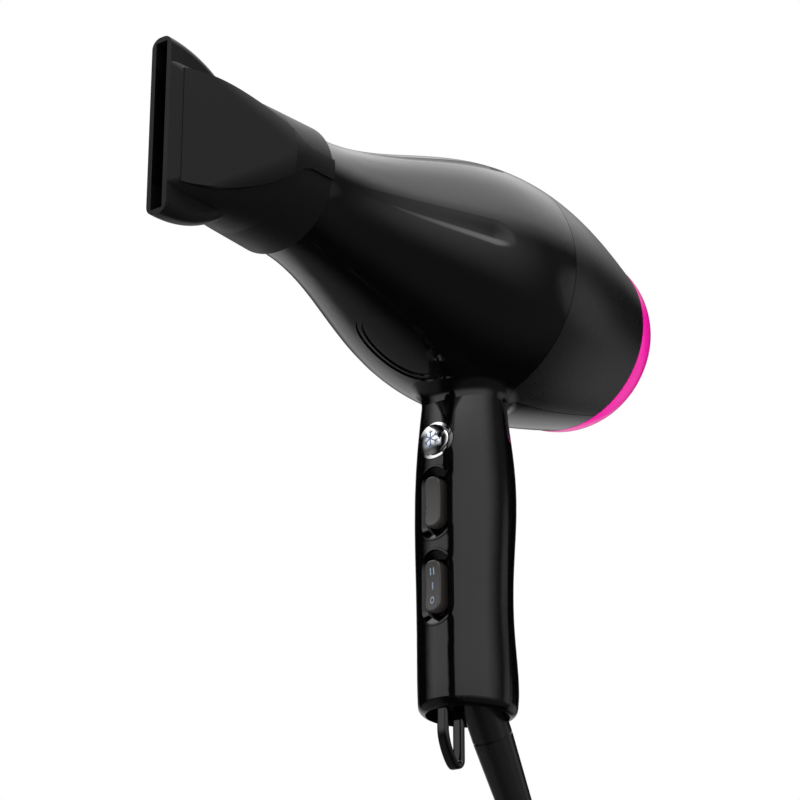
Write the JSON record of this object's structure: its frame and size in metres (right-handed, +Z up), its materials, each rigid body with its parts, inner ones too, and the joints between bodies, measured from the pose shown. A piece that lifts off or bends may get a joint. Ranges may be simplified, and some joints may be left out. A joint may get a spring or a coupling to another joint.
{
  "type": "hair dryer",
  "caption": "Pistol-grip hair dryer: tapered barrel with a concentrator nozzle, rear air intake with a coloured ring, handle with a cool button and rocker switches, corded.",
  "frame": {"origin": "middle of the hand grip, on the handle's axis", "axes": "+X along the barrel towards the air intake, +Z up the handle to the barrel, +Y to the dryer's side"},
  "size_m": [0.3063, 0.0944, 0.4902],
  "materials": {
    "gloss_black": "high gloss black moulded plastic",
    "satin_black": "satin black moulded plastic",
    "nozzle_black": "fine matt dark grey moulded plastic",
    "magenta": "gloss magenta",
    "chrome": "bright plating",
    "rocker_grey": "satin grey",
    "grille_black": "matt black",
    "mica": "mottled mica board",
    "heating_alloy": "drawn resistance wire",
    "steel": "plated steel",
    "bronze": "sintered bronze",
    "fan_white": "moulded white plastic",
    "switch_black": "moulded switch body",
    "terminal_white": "moulded terminal block",
    "cord_black": "flexible black sheath",
    "pin_metal": "nickel plated brass"
  },
  "bodies": {
    "dryer": {"front_housing": "gloss_black", "handle_back": "gloss_black", "rear_cover": "satin_black", "housing_screws": "steel", "end_cap": "grille_black", "hang_loop": "gloss_black", "outlet_grille": "grille_black", "ion_emitter": "steel", "heater_shield": "mica", "heater_frame": "mica", "heater_wire": "heating_alloy", "thermostat": "switch_black", "thermal_fuse": "steel", "motor": "steel", "motor_bushes": "bronze", "fan_guide": "grille_black", "heat_bezel": "gloss_black", "heat_switch": "switch_black", "speed_bezel": "gloss_black", "speed_switch": "switch_black", "cool_bezel": "chrome", "cool_switch": "switch_black", "ion_module": "switch_black", "terminal_block": "terminal_white", "strain_relief": "cord_black", "cord_lead": "cord_black", "cord_coil": "cord_black", "cord_tail": "cord_black", "cord_tie": "cord_black", "plug_body": "cord_black", "plug_pins": "pin_metal"},
    "nozzle": {"nozzle": "nozzle_black"},
    "intake": {"intake_ring": "magenta", "intake_grille": "grille_black", "filter_mesh": "steel"},
    "heat_rocker": {"heat_rocker": "rocker_grey"},
    "speed_rocker": {"speed_rocker": "rocker_grey"},
    "cool_button": {"cool_button": "chrome"},
    "fan": {"motor_shaft": "steel", "fan_impeller": "fan_white"}
  },
  "joints": [
    {"name": "nozzle_swivel", "type": "hinge", "parent": "dryer", "child": "nozzle", "pos_m": [0, 0, 0.11], "axis": [1, 0, 0], "continuous": true},
    {"name": "intake_twist", "type": "hinge", "parent": "dryer", "child": "intake", "pos_m": [0, 0, 0.11], "axis": [1, 0, 0], "range_deg": [0, 25]},
    {"name": "heat_rocker_tilt", "type": "hinge", "parent": "dryer", "child": "heat_rocker", "pos_m": [-0.0134, 0, 0.018], "axis": [0, 1, 0], "range_deg": [-9, 9]},
    {"name": "speed_rocker_tilt", "type": "hinge", "parent": "dryer", "child": "speed_rocker", "pos_m": [-0.0134, 0, -0.0139], "axis": [0, 1, 0], "range_deg": [-9, 9]},
    {"name": "cool_button_press", "type": "slide", "parent": "dryer", "child": "cool_button", "axis": [1, 0, 0], "range_m": [0, 0.0025], "stiffness_N_per_m": 800},
    {"name": "fan_spin", "type": "hinge", "parent": "dryer", "child": "fan", "pos_m": [0, 0, 0.11], "axis": [1, 0, 0], "continuous": true}
  ]
}
